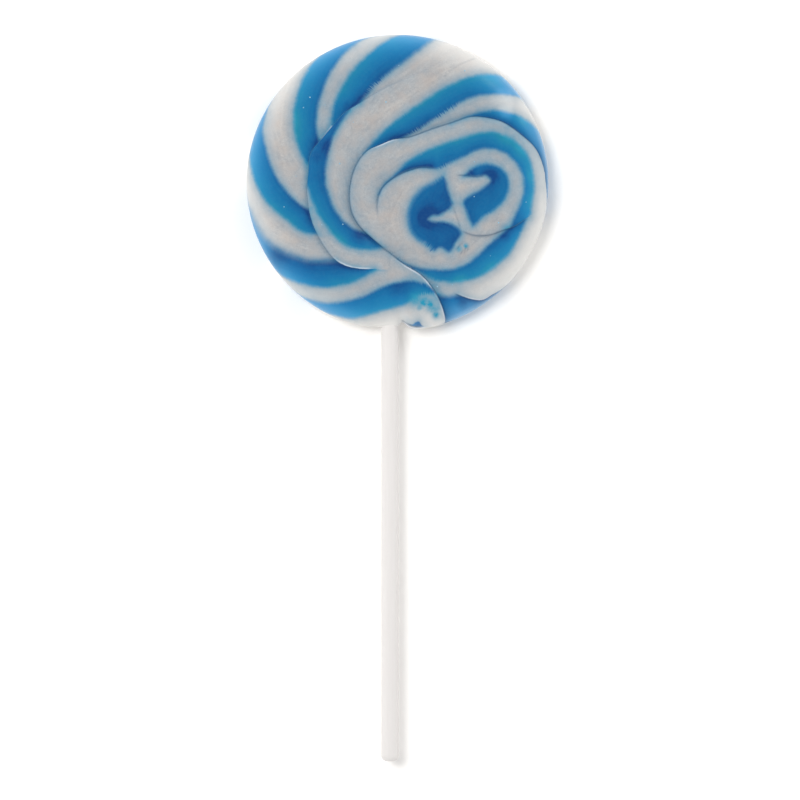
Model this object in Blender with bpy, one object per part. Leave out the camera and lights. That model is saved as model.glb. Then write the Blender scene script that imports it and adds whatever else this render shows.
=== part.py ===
"""Swirl lollipop: a disc of hard candy, wound from one twisted rope and pressed flat, on a moulded stick.

It lies on the flat of its back with the wound face up. Units are metres and +Z is up. The origin is the
middle of the flat back, and the stick points along -Y.
"""

import math

import bmesh
import bpy
import numpy as np
from mathutils import Vector
from mathutils.geometry import delaunay_2d_cdt

MM = 0.001

# Candy disc
DISC_RADIUS = 35.0 * MM
OVAL = 0.35 * MM  # the disc is wider across the stick by this much, and shorter along it
THICKNESS = 10.4 * MM  # at the shoulder, where the rounding of the rim starts
CROWN = 0.5 * MM  # how much thicker the middle is than the shoulder
FACE_ROUNDING = 5.2 * MM  # how far the rounding reaches in from the rim on the face
BACK_ROUNDING = 3.8 * MM  # and on the back
RIM_SIDES = 132
# Turns, in degrees, round the rim's rounding: 0 is the shoulder of the face, 90 the rim and 180 the back.
# The first ones are rings of points that the folds break, and the others are whole.
BROKEN_RINGS = (14, 28, 41)
BORDER_RING = 53
WHOLE_RINGS = (65, 78, 90, 112, 134, 157, 180)
FACE_GRID = 1.55 * MM  # spacing of the face's other points
BORDER_GAP = 0.5 * MM  # those points keep this far inside the border ring
ROW_GAP = 0.3 * MM  # and the rows beside a fold keep this far apart
RING_GAP = 0.6 * MM  # as the broken rings do from those rows
SAME_PLACE = 1e-9  # points of the face nearer than this, in metres, are one point
SHARP_EDGE = math.radians(40)

# The rim is drawn in round the stick, and dips again where the rope's tail ends beside it. Each dip has
# the angle of its middle from +X and its half width, both in degrees, and its depth.
RIM_DIPS = ((-93.5, 6.5, 1.3 * MM), (-88.0, 2.2, 1.3 * MM))

# Boiled sugar, in a colour between its white and its blue
CANDY_COLOUR = (0.30, 0.46, 0.58)
CANDY_ROUGHNESS = 0.3

# Stick
STICK_DIAMETER = 4.0 * MM
STICK_LENGTH = 150.0 * MM
STICK_TOP = 14.5 * MM  # how far past the disc's centre the stick reaches
STICK_OFFSET = -1.75 * MM  # its axis lies this far to the side of the disc's centre
STICK_END_BEVEL = 1.3 * MM
STICK_END_SEGMENTS = 4
STICK_END_ANGLE = math.radians(60)  # only edges sharper than this are rounded: those of its two ends
STICK_SIDES = 28
STICK_COLOUR = (0.80, 0.78, 0.76)
STICK_ROUGHNESS = 0.42
CLEARANCE = 0.3 * MM  # between the stick and its socket

# Folds: where one turn of the rope laps over the next. Each runs through its points, in millimetres,
# with the raised turn on its left, or on its right from the point where the lap swaps over. The lip and
# the groove are its heights, and the tapers are the lengths over which it grows and dies away.
FOLDS = (
    # The outer turn, tucked under the middle one: faint from the upper rim, then deep down the left
    {
        "through": ((17.5, 31.5), (10, 28), (3.3, 24.6), (-8.8, 18.4), (-15, 13.4), (-20.3, 6.5), (-21.1, -2),
                    (-18, -13.5), (-12, -19.5), (-5, -20.3)),
        "lip": 0.55, "groove": 1.1, "taper_in": 34, "taper_out": 4,
    },
    # The middle turn, tucked under the inner one from the right rim over the top and down the left, and
    # then under the rope's tail to the bottom rim
    {
        "through": ((35.5, -4), (34, 3.5), (29, 11), (22, 14.8), (15, 14.6), (5, 11.2), (-4, 8.7), (-9.5, 4),
                    (-11.2, -3), (-8, -11.3), (-2.5, -16), (3.5, -20.4), (8.2, -24.8), (10.8, -30), (11.6, -36)),
        "lip": 0.6, "groove": 1.15, "swaps_at": (-2.5, -16),
    },
    # The inner turn, tucked under the core
    {
        "through": ((10, 2.9), (4.5, 3.2), (0.5, 1.7), (-3, -0.8), (-4.6, -4.5), (-4.6, -9.5)),
        "lip": 0.45, "groove": 0.9, "taper_in": 4, "taper_out": 6,
    },
    # Two small laps: below the core, and at the rim right of the tail
    {
        "through": ((14, -11.2), (18, -12.5), (24, -11.6), (31, -8)),
        "lip": 0.2, "groove": 0.45, "taper_in": 3, "taper_out": 3,
    },
    {
        "through": ((12, -25.9), (17, -27.4), (22.5, -27), (25, -26)),
        "lip": 0.35, "groove": 0.7, "taper_in": 3,
    },
)
LIP_EDGE = 0.7  # mm: how sharply the lip rounds over
LIP_BODY = 6.0  # mm: how far the raised turn stays high
GROOVE_WALL = 0.25  # mm: how steeply the groove drops from the lip
GROOVE_WIDTH = 2.4  # mm: how far the groove reaches
SWAP_LENGTH = 6.0  # mm: how long the lap takes to swap over
FOLD_STEP = 1.3  # mm: spacing of the points along a fold
FOLD_ROWS = (-2.2, -0.9, -0.35, 0.15, 0.7, 1.8)  # mm: rows of points beside a fold, minus is its right
CLEAR_OF_FOLDS = 0.9  # mm: the plain grid keeps this far from those rows


def clear_scene():
    for obj in list(bpy.data.objects):
        bpy.data.objects.remove(obj, do_unlink=True)


def material(name, colour, roughness):
    """A Principled material of one linear colour."""
    made = bpy.data.materials.new(name)
    made.use_nodes = True
    shader = made.node_tree.nodes["Principled BSDF"]
    shader.inputs["Base Color"].default_value = (*colour, 1)
    shader.inputs["Roughness"].default_value = roughness
    shader.inputs["Metallic"].default_value = 0
    return made


def object_from(bm, name, finish):
    """An object of this mesh, smooth but for its sharp edges."""
    mesh = bpy.data.meshes.new(name)
    bm.to_mesh(mesh)
    bm.free()
    mesh.shade_smooth()
    mesh.set_sharp_from_angle(angle=SHARP_EDGE)
    mesh.materials.append(finish)
    made = bpy.data.objects.new(name, mesh)
    bpy.context.collection.objects.link(made)
    return made


def smooth_line(through, step):
    """Points about a step apart on the smooth curve through the given ones (Catmull-Rom)."""
    ends = [2 * Vector(through[0]) - Vector(through[1]), 2 * Vector(through[-1]) - Vector(through[-2])]
    knots = [ends[0], *map(Vector, through), ends[1]]
    line = []
    for before, a, b, after in zip(knots, knots[1:], knots[2:], knots[3:]):
        count = max(2, round((b - a).length / step))
        for i in range(count):
            t = i / count
            line.append(
                0.5 * (2 * a + (b - before) * t + (2 * before - 5 * a + 4 * b - after) * t**2
                       + (3 * a - before - 3 * b + after) * t**3)
            )
    return np.array([*line, knots[-2]])


def beside(line, offset):
    """The line moved to its left by an offset."""
    along = np.gradient(line, axis=0)
    along /= np.linalg.norm(along, axis=1, keepdims=True)
    return line + offset * np.stack([-along[:, 1], along[:, 0]], axis=1)


def place_on(line, points):
    """Each point's signed distance to the line, plus on its left, and the length along it to there."""
    start, run = line[:-1], np.diff(line, axis=0)
    length = np.linalg.norm(run, axis=1)
    offset = points[:, None] - start
    share = np.clip((offset * run).sum(axis=2) / length**2, 0, 1)
    away = offset - share[..., None] * run
    distance = np.linalg.norm(away, axis=2)
    nearest = distance.argmin(axis=1)
    row = np.arange(len(points))
    left = run[nearest, 0] * offset[row, nearest, 1] - run[nearest, 1] * offset[row, nearest, 0]
    reached = np.concatenate([[0], np.cumsum(length)])[nearest] + share[row, nearest] * length[nearest]
    return np.sign(left) * distance[row, nearest], reached, length.sum()


def relief(points):
    """Height in millimetres of the folds over the plain face at each point, also in millimetres."""
    height = np.zeros(len(points))
    for fold in FOLDS:
        line = smooth_line(fold["through"], FOLD_STEP)
        side, reached, length = place_on(line, points)
        weight = np.ones(len(points))
        if "taper_in" in fold:
            weight *= np.clip(reached / fold["taper_in"], 0, 1)
        if "taper_out" in fold:
            weight *= np.clip((length - reached) / fold["taper_out"], 0, 1)
        away = np.abs(side)
        lip = fold["lip"] * (np.exp(-away / LIP_BODY) - np.exp(-away / LIP_EDGE))
        groove = fold["groove"] * (np.exp(-away / GROOVE_WALL) - np.exp(-away / GROOVE_WIDTH))
        left_raised = np.where(side > 0, lip, groove)
        right_raised = np.where(side < 0, lip, groove)
        swapped = np.zeros(len(points))
        if "swaps_at" in fold:
            swap = place_on(line, np.array([fold["swaps_at"]]))[1]
            swapped = np.clip((reached - swap) / SWAP_LENGTH + 0.5, 0, 1)
        height += weight * (left_raised * (1 - swapped) + right_raised * swapped)
    return height


def rim_radius(angle):
    """The disc's radius towards an angle from +X."""
    radius = DISC_RADIUS + OVAL * np.cos(2 * angle)
    for middle, half_width, depth in RIM_DIPS:
        away = (np.degrees(angle) - middle + 180) % 360 - 180
        radius = radius - depth * np.exp(-((away / half_width) ** 2))
    return radius


def inside_rim(places):
    """How far each place in the plane lies inside the rim."""
    return rim_radius(np.arctan2(places[:, 1], places[:, 0])) - np.linalg.norm(places, axis=1)


def ring(turn, rounding):
    """The rim's points, in metres, at a turn in degrees of its rounding: 0 is up and 90 outwards."""
    angle = 2 * math.pi * np.arange(RIM_SIDES) / RIM_SIDES
    radius = rim_radius(angle) - rounding * (1 - math.sin(math.radians(turn)))
    return np.stack([radius * np.cos(angle), radius * np.sin(angle)], axis=1)


def face_height(places):
    """The wound face's height, in metres, over places in the plane."""
    fall = np.sqrt(1 - np.clip(1 - inside_rim(places) / FACE_ROUNDING, 0, 1) ** 2)
    radius = np.linalg.norm(places, axis=1)
    crown = CROWN * np.clip(1 - (radius / (DISC_RADIUS - FACE_ROUNDING)) ** 2, 0, 1)
    return THICKNESS / 2 * (1 + fall) + crown + fall * relief(places / MM) * MM


def add_clear(points, others, gap):
    """Adds to the points each of the others that keeps a gap to all that were there before."""
    clear = [other for other in others if np.linalg.norm(points - other, axis=1).min() > gap]
    return np.concatenate([points, clear]) if clear else points


def face_places():
    """Places that cover the face: its border ring, rows along the folds, broken rings, and a grid."""
    places = ring(BORDER_RING, FACE_ROUNDING)
    border = FACE_ROUNDING * (1 - math.sin(math.radians(BORDER_RING))) + BORDER_GAP
    for fold in FOLDS:
        line = smooth_line(fold["through"], FOLD_STEP)
        rows = np.concatenate([beside(line, offset) for offset in FOLD_ROWS]) * MM
        places = add_clear(places, rows[inside_rim(rows) > border], ROW_GAP)
    for turn in BROKEN_RINGS:
        places = add_clear(places, ring(turn, FACE_ROUNDING), RING_GAP)
    reach = math.ceil(DISC_RADIUS / FACE_GRID)
    across, along = np.meshgrid(np.arange(-reach, reach), np.arange(-reach - 2, reach + 3))
    grid = np.stack([across + along % 2 / 2, along * math.sqrt(3) / 2], axis=-1).reshape(-1, 2) * FACE_GRID
    shoulder = DISC_RADIUS - FACE_ROUNDING
    return add_clear(places, grid[np.linalg.norm(grid, axis=1) < shoulder], CLEAR_OF_FOLDS * MM)


def candy_mesh():
    """The disc as one closed mesh: its wound face, its rounded rim and its flat back."""
    border = [(i, (i + 1) % RIM_SIDES) for i in range(RIM_SIDES)]
    flat, _, triangles, *_ = delaunay_2d_cdt([Vector(p) for p in face_places()], border, [], 1, SAME_PLACE)
    places = np.array(flat)
    bm = bmesh.new()
    face = [bm.verts.new((*place, z)) for place, z in zip(places, face_height(places))]
    for triangle in triangles:
        bm.faces.new([face[i] for i in triangle])
    last = face[:RIM_SIDES]
    for turn in WHOLE_RINGS:
        if turn < 90:
            places = ring(turn, FACE_ROUNDING)
            heights = face_height(places)
        else:
            places = ring(turn, BACK_ROUNDING)
            heights = np.full(RIM_SIDES, THICKNESS / 2 * (1 + math.cos(math.radians(turn))))
        row = [bm.verts.new((*place, z)) for place, z in zip(places, heights)]
        for i, j in border:
            bm.faces.new((last[i], row[i], row[j], last[j]))
        last = row
    bm.faces.new(list(reversed(last)))
    bmesh.ops.recalc_face_normals(bm, faces=bm.faces)
    return bm


def rod_mesh(diameter, length, sides):
    """A rod along Y, from the origin towards -Y."""
    bm = bmesh.new()
    bmesh.ops.create_cone(
        bm, cap_ends=True, segments=sides, radius1=diameter / 2, radius2=diameter / 2, depth=length
    )
    for vert in bm.verts:
        vert.co = (vert.co.x, vert.co.z - length / 2, -vert.co.y)
    bmesh.ops.recalc_face_normals(bm, faces=bm.faces)
    return bm


def make_stick():
    white = material("moulded_white", STICK_COLOUR, STICK_ROUGHNESS)
    stick = object_from(rod_mesh(STICK_DIAMETER, STICK_LENGTH, STICK_SIDES), "stick", white)
    stick.location = (STICK_OFFSET, STICK_TOP, THICKNESS / 2)
    ends = stick.modifiers.new("rounded ends", "BEVEL")
    ends.width = STICK_END_BEVEL
    ends.segments = STICK_END_SEGMENTS
    ends.limit_method = "ANGLE"
    ends.angle_limit = STICK_END_ANGLE
    return stick


def make_candy():
    sugar = material("hard_candy", CANDY_COLOUR, CANDY_ROUGHNESS)
    candy = object_from(candy_mesh(), "candy", sugar)
    bore = rod_mesh(STICK_DIAMETER + 2 * CLEARANCE, STICK_LENGTH, STICK_SIDES)
    cutter = object_from(bore, "stick_socket_cutter", sugar)
    cutter.location = (STICK_OFFSET, STICK_TOP + CLEARANCE, THICKNESS / 2)
    cutter.hide_render = True
    cutter.display_type = "WIRE"
    socket = candy.modifiers.new("socket for the stick", "BOOLEAN")
    socket.operation = "DIFFERENCE"
    socket.object = cutter
    socket.solver = "EXACT"
    return candy


clear_scene()
make_stick()
make_candy()
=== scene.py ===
"""Swirl lollipop: the looks of the candy disc and its stick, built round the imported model.

Sizes are in millimetres until a mesh is made, +Z is up, and the stick points along -Y.
"""

import math

import bmesh
import bpy
import numpy as np
from mathutils import Matrix, Vector
from mathutils.geometry import delaunay_2d_cdt
from mathutils.kdtree import KDTree


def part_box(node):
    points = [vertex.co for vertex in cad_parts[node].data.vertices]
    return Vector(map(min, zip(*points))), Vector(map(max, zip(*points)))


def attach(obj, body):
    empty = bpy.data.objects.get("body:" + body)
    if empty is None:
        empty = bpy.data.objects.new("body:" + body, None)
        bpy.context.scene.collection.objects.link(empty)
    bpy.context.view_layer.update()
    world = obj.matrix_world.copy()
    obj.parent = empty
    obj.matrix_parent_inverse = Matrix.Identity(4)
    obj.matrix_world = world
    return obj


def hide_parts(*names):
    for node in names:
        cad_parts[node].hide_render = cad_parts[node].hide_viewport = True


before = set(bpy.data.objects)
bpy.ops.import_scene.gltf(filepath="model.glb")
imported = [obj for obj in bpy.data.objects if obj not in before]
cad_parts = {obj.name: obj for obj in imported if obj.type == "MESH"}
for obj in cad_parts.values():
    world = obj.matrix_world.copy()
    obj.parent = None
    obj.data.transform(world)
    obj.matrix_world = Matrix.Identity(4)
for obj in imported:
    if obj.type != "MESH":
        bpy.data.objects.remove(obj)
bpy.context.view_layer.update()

MM = 0.001

# ---------------------------------------------------------------------------------------------------
# The candy disc's shape. One thick rope of warm sugar is wound flat from the core outwards, each turn
# lapping over the one outside it, and pressed between plates: the face keeps the laps as low folds,
# the rim stays round, and the back sets flat.
# ---------------------------------------------------------------------------------------------------

candy_low, candy_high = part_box("candy")
OVAL = 0.35
DISC_RADIUS = (candy_high.x - candy_low.x) / 2 / MM - OVAL
THICKNESS = 10.4
CROWN = 0.5
SHOULDER = 7.0  # how far in from the rim the face starts to fall away
SHOULDER_POWER = 2.6
FACE_ROUNDING = 5.2
BACK_ROUNDING = 3.8
# The rim is drawn in round the stick, and dips again where the rope's tail ends beside it: the angle of
# each dip's middle and its half width, in degrees, and its depth
RIM_DIPS = ((-93.5, 6.5, 1.3), (-88.0, 2.2, 1.3))

GRID = 0.36  # spacing of the fine mesh on the face
BACK_GRID = 0.7
RIM_SIDES = 900
BORDER_TURN = 53  # degrees round the rim's rounding, where the face's mesh meets the rim's rings
RIM_TURNS = [*range(57, 90, 4), 90, *range(95, 180, 5), 180]
RIM_SHARE = 0.7  # how far the stripes move on, for a length round the rim
BACK_PITCH = 12.0
BACK_SLANT = 1.1
BACK_SHIFT = 0.6  # how far, in radians, the stripes have moved on from one turn to the next
BACK_START = math.radians(200)
BACK_SEAM = 0.3
BACK_ROWS = (-1.1, -0.5, -0.2, -0.05, 0.05, 0.2, 0.5, 1.1)
STICK_X = -1.75
STICK_RADIUS = 2.0
COLLAR = 0.5
COLLAR_WIDTH = 0.9


def smooth_line(through, step=0.5):
    """Points about a step apart on the smooth curve through the given ones (Catmull-Rom)."""
    through = [Vector(point) for point in through]
    knots = [2 * through[0] - through[1], *through, 2 * through[-1] - through[-2]]
    line = []
    for before, a, b, after in zip(knots, knots[1:], knots[2:], knots[3:]):
        count = max(2, round((b - a).length / step))
        for i in range(count):
            t = i / count
            line.append(
                0.5 * (2 * a + (b - before) * t + (2 * before - 5 * a + 4 * b - after) * t**2
                       + (3 * a - before - 3 * b + after) * t**3)
            )
    return np.array([*line, through[-1]])


def run_on(line, out_to=47.0, step=0.7, steepest=35.0, flattest=62.0, turning=0.25):
    """Carries the start of a line on past the rim as a spiral, at the slant that it leaves the face."""
    place = line[0]
    heading = place - line[3]
    added = []
    for i in range(90):
        radial = math.atan2(place[1], place[0])
        slant = (math.atan2(heading[1], heading[0]) - radial + math.pi) % (2 * math.pi) - math.pi
        wanted = math.copysign(min(max(abs(slant), math.radians(steepest)), math.radians(flattest)), slant)
        slant += (wanted - slant) * turning
        heading = np.array([math.cos(radial + slant), math.sin(radial + slant)])
        place = place + step * heading
        added.insert(0, place)
        if np.linalg.norm(place) > out_to:
            break
    return np.concatenate([added, line])


def beside(line, offset):
    """The line moved to its left by an offset."""
    along = np.gradient(line, axis=0)
    along /= np.linalg.norm(along, axis=1, keepdims=True)
    return line + offset * np.stack([-along[:, 1], along[:, 0]], axis=1)


def place_on(line, points, reach=8.0):
    """Each point's signed distance to the line, plus on its left, and the length along it to there.

    Points further off than the reach get that reach, and the end of the line."""
    start, run = line[:-1], np.diff(line, axis=0)
    length = np.linalg.norm(run, axis=1)
    sums = np.concatenate([[0], np.cumsum(length)])
    side, reached = np.full(len(points), reach), np.full(len(points), sums[-1])
    near = ((points > line.min(axis=0) - reach) & (points < line.max(axis=0) + reach)).all(axis=1)
    for rows in np.array_split(np.flatnonzero(near), 1 + near.sum() // 4000):
        offset = points[rows, None] - start
        share = np.clip((offset * run).sum(axis=2) / length**2, 0, 1)
        distance = np.linalg.norm(offset - share[..., None] * run, axis=2)
        nearest = distance.argmin(axis=1)
        pick = np.arange(len(rows))
        left = run[nearest, 0] * offset[pick, nearest, 1] - run[nearest, 1] * offset[pick, nearest, 0]
        side[rows] = np.where(left < 0, -1, 1) * distance[pick, nearest]
        reached[rows] = sums[nearest] + share[pick, nearest] * length[nearest]
    return side, reached, sums[-1]


# Each fold runs with its raised turn on its left, or on its right from where the lap swaps over.
# Each fold's strengths also set the painted shade along its crease and the blue-grey painted shade beside it, and its
# lit spots are where its raised edge gets a painted highlight.
FOLDS = {
    "outer": {
        "line": smooth_line(((17.5, 31.5), (10, 28), (3.3, 24.6), (-3, 21.9), (-8.8, 18.4), (-12.3, 16.2),
                             (-15, 13.3), (-18, 9.7), (-20.3, 6.5), (-20.8, 2), (-21.1, -2.5), (-20.2, -8.5),
                             (-18, -13.5), (-15, -17.7), (-12, -19.6), (-8.5, -20.3), (-5, -20.3))),
        "lip": 0.2, "groove": 0.7, "taper_in": 34, "taper_out": 2.5, "crease_shade_and_cracks": 0.3, "tinge": 0.5,
        "lit": ((-12, -19.5, 3), (-8, -20.3, 3)),
    },
    "middle": {
        "line": smooth_line(((34.8, 0), (34.2, 3.5), (32.3, 7.8), (29, 11), (25, 13.8), (21, 15), (17, 15.2),
                             (13, 13.9), (8, 12.3), (3, 10.5), (-1, 9.9), (-4, 8.7), (-7, 7.3), (-9.2, 4.7),
                             (-10.6, 1.2), (-11.2, -3), (-10.6, -7.2), (-8.6, -10.6), (-5.5, -13.5),
                             (-2.5, -16), (1.5, -19.2), (5.5, -21.7), (8.2, -24.8), (10, -28), (11.1, -31.5),
                             (11.6, -36))),
        "lip": 0.5, "groove": 0.95, "swaps_at": (-2.5, -16), "crease_shade_and_cracks": 0.8, "tinge": 0.62,
        "lit": ((-3, 9.3, 3), (3.5, -20.4, 3), (7.5, -24, 3), (11, -31, 3)),
    },
    "inner": {
        "line": smooth_line(((9.5, 3.1), (6, 3.4), (3.2, 2.8), (0.5, 1.7), (-1.6, 0.4), (-3.2, -1),
                             (-4.3, -3), (-4.7, -6), (-4.3, -10))),
        "lip": 0.35, "groove": 0.7, "taper_in": 2, "taper_out": 7, "crease_shade_and_cracks": 0.8, "tinge": 0.6,
    },
    "core": {
        "line": smooth_line(((14.5, -11.2), (18, -12.4), (21.5, -12.3), (24.7, -11.2), (27.5, -10.2), (30.8, -8))),
        "lip": 0.2, "groove": 0.4, "taper_in": 2, "taper_out": 2, "crease_shade_and_cracks": 0.6, "tinge": 0.3,
    },
    "rim": {
        "line": smooth_line(((13, -25.8), (14.6, -26.5), (17, -27.3), (19.3, -27.6), (20.7, -27.35),
                             (21.7, -26.7))),
        "lip": 0.3, "groove": 0.6, "taper_in": 1.5, "crease_shade_and_cracks": 0.9, "tinge": 0.4, "lit": ((18.5, -27.6, 4),),
    },
    "tail": {
        "line": smooth_line(((0.8, -32.1), (1.8, -32.9), (3.2, -33.7), (4.8, -34), (6.4, -33.6))),
        "lip": 0.2, "groove": 0.4, "taper_in": 0.8, "taper_out": 1.5, "crease_shade_and_cracks": 0.8, "tinge": 0.3,
    },
}
middle = run_on(FOLDS["middle"]["line"], turning=0.06)
FOLDS["middle"]["line"] = run_on(middle[::-1])[::-1]
FOLDS["rim"]["line"] = run_on(FOLDS["rim"]["line"][::-1])[::-1]
LIP_EDGE = 0.55
LIP_BODY = 6.0
GROOVE_WALL = 0.13
GROOVE_WIDTH = 2.4
SWAP_LENGTH = 6.0
FADE_LENGTH = 6.0
FOLD_STEP = 0.35
FOLD_ROWS = (-1.6, -1.1, -0.75, -0.5, -0.32, -0.2, -0.1, 0, 0.1, 0.2, 0.34, 0.52, 0.8, 1.2)
ALL_FAR = 90.0


def lap_at(fold, points):
    """Each point's distance from a fold, how far its crease and its relief show there, and how far the
    raised side has swapped over."""
    side, reached, length = place_on(fold["line"], points, ALL_FAR)
    from_end = [np.full(len(points), ALL_FAR)]
    if "taper_in" in fold:
        from_end.append(reached / fold["taper_in"])
    if "taper_out" in fold:
        from_end.append((length - reached) / fold["taper_out"])
    crease = smooth_step(np.minimum.reduce(from_end))
    if "taper_in" in fold:
        from_end[1] = reached / max(fold["taper_in"], FADE_LENGTH)
    if "taper_out" in fold:
        from_end[-1] = (length - reached) / max(fold["taper_out"], FADE_LENGTH)
    raised = smooth_step(np.minimum.reduce(from_end))
    swapped = np.zeros(len(points))
    if "swaps_at" in fold:
        swap = place_on(fold["line"], np.array([fold["swaps_at"]]))[1]
        swapped = smooth_step((reached - swap) / SWAP_LENGTH + 0.5)
    near = smooth_step((8 - np.abs(side)) / 3)
    return side, crease * near, raised * near, swapped


def smooth_step(share):
    """0 below 0, 1 above 1, and an even curve between."""
    share = np.clip(share, 0, 1)
    return share * share * (3 - 2 * share)


def relief(points):
    """Height of the folds over the plain face at each point."""
    height = np.zeros(len(points))
    for fold in FOLDS.values():
        side, _, weight, swapped = lap_at(fold, points)
        away = np.abs(side)
        lip = fold["lip"] * (np.exp(-away / LIP_BODY) - np.exp(-away / LIP_EDGE))
        groove = fold["groove"] * (np.exp(-away / GROOVE_WALL) - np.exp(-away / GROOVE_WIDTH))
        left_raised = np.where(side > 0, lip, groove)
        right_raised = np.where(side < 0, lip, groove)
        height += weight * (left_raised * (1 - swapped) + right_raised * swapped)
    return height


def rim_radius(angle):
    """The disc's radius towards an angle from +X."""
    radius = DISC_RADIUS + OVAL * np.cos(2 * angle)
    for middle, half_width, depth in RIM_DIPS:
        away = (np.degrees(angle) - middle + 180) % 360 - 180
        radius = radius - depth * np.exp(-((away / half_width) ** 2))
    return radius


def inside_rim(points):
    """How far each point in the plane lies inside the rim."""
    return rim_radius(np.arctan2(points[:, 1], points[:, 0])) - np.linalg.norm(points[:, :2], axis=1)


def ring(turn, sides=RIM_SIDES):
    """The rim's points at a turn, in degrees, of its rounding: 0 is up, 90 outwards and 180 down."""
    angle = 2 * math.pi * np.arange(sides) / sides
    rounding = FACE_ROUNDING if turn < 90 else BACK_ROUNDING
    radius = rim_radius(angle) - rounding * (1 - math.sin(math.radians(turn)))
    return np.stack([radius * np.cos(angle), radius * np.sin(angle)], axis=1)


def skin(points, planned):
    """Places on the disc's upper half over these points: its shoulder, plus crown, plus the folds."""
    radius = np.linalg.norm(points, axis=1)
    inwards = np.clip(1 - inside_rim(points) / SHOULDER, 0, 1)
    fall = np.sqrt(1 - inwards**SHOULDER_POWER)
    turns = np.arctan2(THICKNESS / 2 * SHOULDER_POWER * inwards ** (SHOULDER_POWER - 1), 2 * SHOULDER * fall)
    crown = CROWN * np.clip(1 - (radius / (DISC_RADIUS - FACE_ROUNDING)) ** 2, 0, 1)
    shown = 1 - 0.75 * smooth_step((np.degrees(turns) - 40) / 50)
    raised = relief(planned) * shown
    outwards = points / np.maximum(radius, 1e-6)[:, None]
    flat = points + outwards * (raised * np.sin(turns))[:, None]
    height = THICKNESS / 2 * (1 + fall) + crown + raised * np.cos(turns)
    return np.column_stack([flat, height])


def add_clear(points, others, gap):
    """Adds to the points each of the others that keeps a gap to all that were there before."""
    tree = KDTree(len(points))
    for i, point in enumerate(points):
        tree.insert((*point, 0), i)
    tree.balance()
    clear = [other for other in others if tree.find((*other, 0))[2] > gap]
    return np.concatenate([points, clear])


def grid_of(spacing, within):
    """A triangular grid inside a circle."""
    reach = math.ceil(within / spacing) + 2
    across, along = np.meshgrid(np.arange(-reach, reach), np.arange(-reach - 4, reach + 5))
    grid = np.stack([across + along % 2 / 2, along * math.sqrt(3) / 2], axis=-1).reshape(-1, 2) * spacing
    return grid[np.linalg.norm(grid, axis=1) < within]


def filled(points, border):
    """The points with the triangles that join them, inside a border of the first ones."""
    edges = [(i, (i + 1) % border) for i in range(border)]
    places, _, triangles, *_ = delaunay_2d_cdt([Vector(point) for point in points], edges, [], 1, 1e-5)
    return np.array(places), triangles


# The face: its border ring, close rows along the folds, and a grid
border_inset = FACE_ROUNDING * (1 - math.sin(math.radians(BORDER_TURN))) + 0.15
face_points = ring(BORDER_TURN)
for fold in FOLDS.values():
    shape = fold["line"]
    count = int(np.linalg.norm(np.diff(shape, axis=0), axis=1).sum() / FOLD_STEP)
    pick = np.linspace(0, len(shape) - 1, count)
    spread = np.stack([np.interp(pick, np.arange(len(shape)), shape[:, k]) for k in (0, 1)], axis=1)
    rows = np.concatenate([beside(spread, offset) for offset in FOLD_ROWS])
    face_points = add_clear(face_points, rows[inside_rim(rows) > border_inset], 0.05)
grid = grid_of(GRID, DISC_RADIUS)
face_points = add_clear(face_points, grid[inside_rim(grid) > border_inset], 0.24)
face_places, face_triangles = filled(face_points, RIM_SIDES)

# The flat back: close rows along the seam, which winds inwards, and a coarser grid
flat_radius = DISC_RADIUS - BACK_ROUNDING
turn = np.arange(0.05, (flat_radius - 2) / BACK_PITCH, 0.0025)
way = BACK_START + 2 * math.pi * turn
rows = flat_radius - BACK_PITCH * turn[:, None] + np.array(BACK_ROWS)
rows = np.stack([rows * np.cos(way)[:, None], rows * np.sin(way)[:, None]], axis=-1).reshape(-1, 2)
back_points = add_clear(ring(180), rows[np.linalg.norm(rows, axis=1) < flat_radius - 0.3], 0.2)
back_points = add_clear(back_points, grid_of(BACK_GRID, flat_radius - 0.6), 0.4)
back_places, back_triangles = filled(back_points, RIM_SIDES)

# Where each point of the skin lies in the stripes' plan: the face is the plan itself, and the rim
# carries it on outwards
places, plans = [skin(face_places, face_places)], [face_places]
faces = [tuple(triangle) for triangle in face_triangles]
last = list(range(RIM_SIDES))
border = ring(BORDER_TURN)
count = len(face_places)
for turn in RIM_TURNS:
    arc = FACE_ROUNDING * math.radians(min(turn, 90) - BORDER_TURN)
    arc += (THICKNESS / 2 + BACK_ROUNDING) / 2 * math.radians(max(turn - 90, 0))
    planned = border * (1 + RIM_SHARE * arc / np.linalg.norm(border, axis=1, keepdims=True))
    points = ring(turn)
    if turn <= 90:
        placed = skin(points, planned)
    else:
        heights = np.full(RIM_SIDES, THICKNESS / 2 * (1 + math.cos(math.radians(turn))))
        placed = np.column_stack([points, heights])
    places.append(placed)
    plans.append(planned)
    row = list(range(count, count + RIM_SIDES))
    count += RIM_SIDES
    for i in range(RIM_SIDES):
        j = (i + 1) % RIM_SIDES
        faces.append((last[i], row[i], row[j], last[j]))
    last = row
rim_end = np.linalg.norm(planned, axis=1).mean()

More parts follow.
